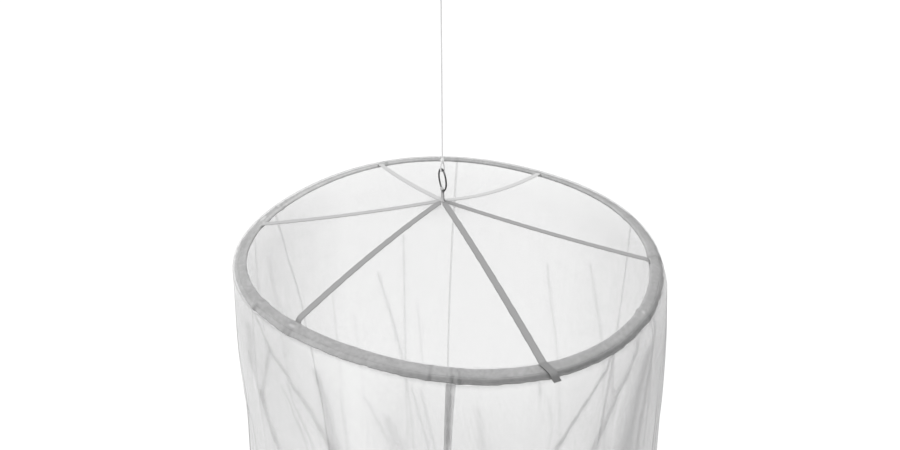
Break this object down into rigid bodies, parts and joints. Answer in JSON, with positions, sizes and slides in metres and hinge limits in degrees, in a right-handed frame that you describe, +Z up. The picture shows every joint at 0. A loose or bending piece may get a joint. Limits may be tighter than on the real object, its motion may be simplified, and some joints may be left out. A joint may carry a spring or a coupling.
{
  "type": "mosquito net canopy with hoop",
  "caption": "Round bed canopy of sheer mosquito net: a covered hoop under a low tented roof of six tapes, hung from one cord, with a long flared wall that overlaps at the front.",
  "frame": {"origin": "where the cord's top loop bears on the ceiling hook that holds the canopy up", "axes": "+Z up along the cord, -Y towards the canopy's front, where the wall panels overlap, +X to the right seen from the front"},
  "size_m": [1.0311, 1.0342, 2.5725],
  "materials": {
    "net": "sheer off-white knitted mesh",
    "tape": "matte woven tape",
    "casing": "matte woven binding",
    "hoop": "drawn spring steel",
    "ring": "dull nickel wire",
    "cord": "twisted white yarn"
  },
  "bodies": {
    "root": {"cord": "cord", "cord_eye": "cord", "cord_knot_lower": "cord", "cord_knot_upper": "cord", "cord_top_loop": "cord", "metal_ring": "ring", "ring_loop": "tape", "roof_tape_right": "tape", "roof_tape_back_right": "tape", "roof_tape_back_left": "tape", "roof_tape_left": "tape", "roof_tape_front_left": "tape", "roof_tape_front_right": "tape", "roof_gore_right_to_back_right": "net", "roof_gore_back_right_to_back_left": "net", "roof_gore_back_left_to_left": "net", "roof_gore_left_to_front_left": "net", "roof_gore_front_left_to_front_right": "net", "roof_gore_front_right_to_right": "net", "hoop_rod": "hoop", "hoop_casing": "casing", "wall_panel_back_right": "net", "wall_panel_back_left": "net", "wall_panel_left": "net", "wall_panel_front_left": "net", "wall_panel_front_right": "net", "wall_panel_right": "net"}
  },
  "joints": []
}
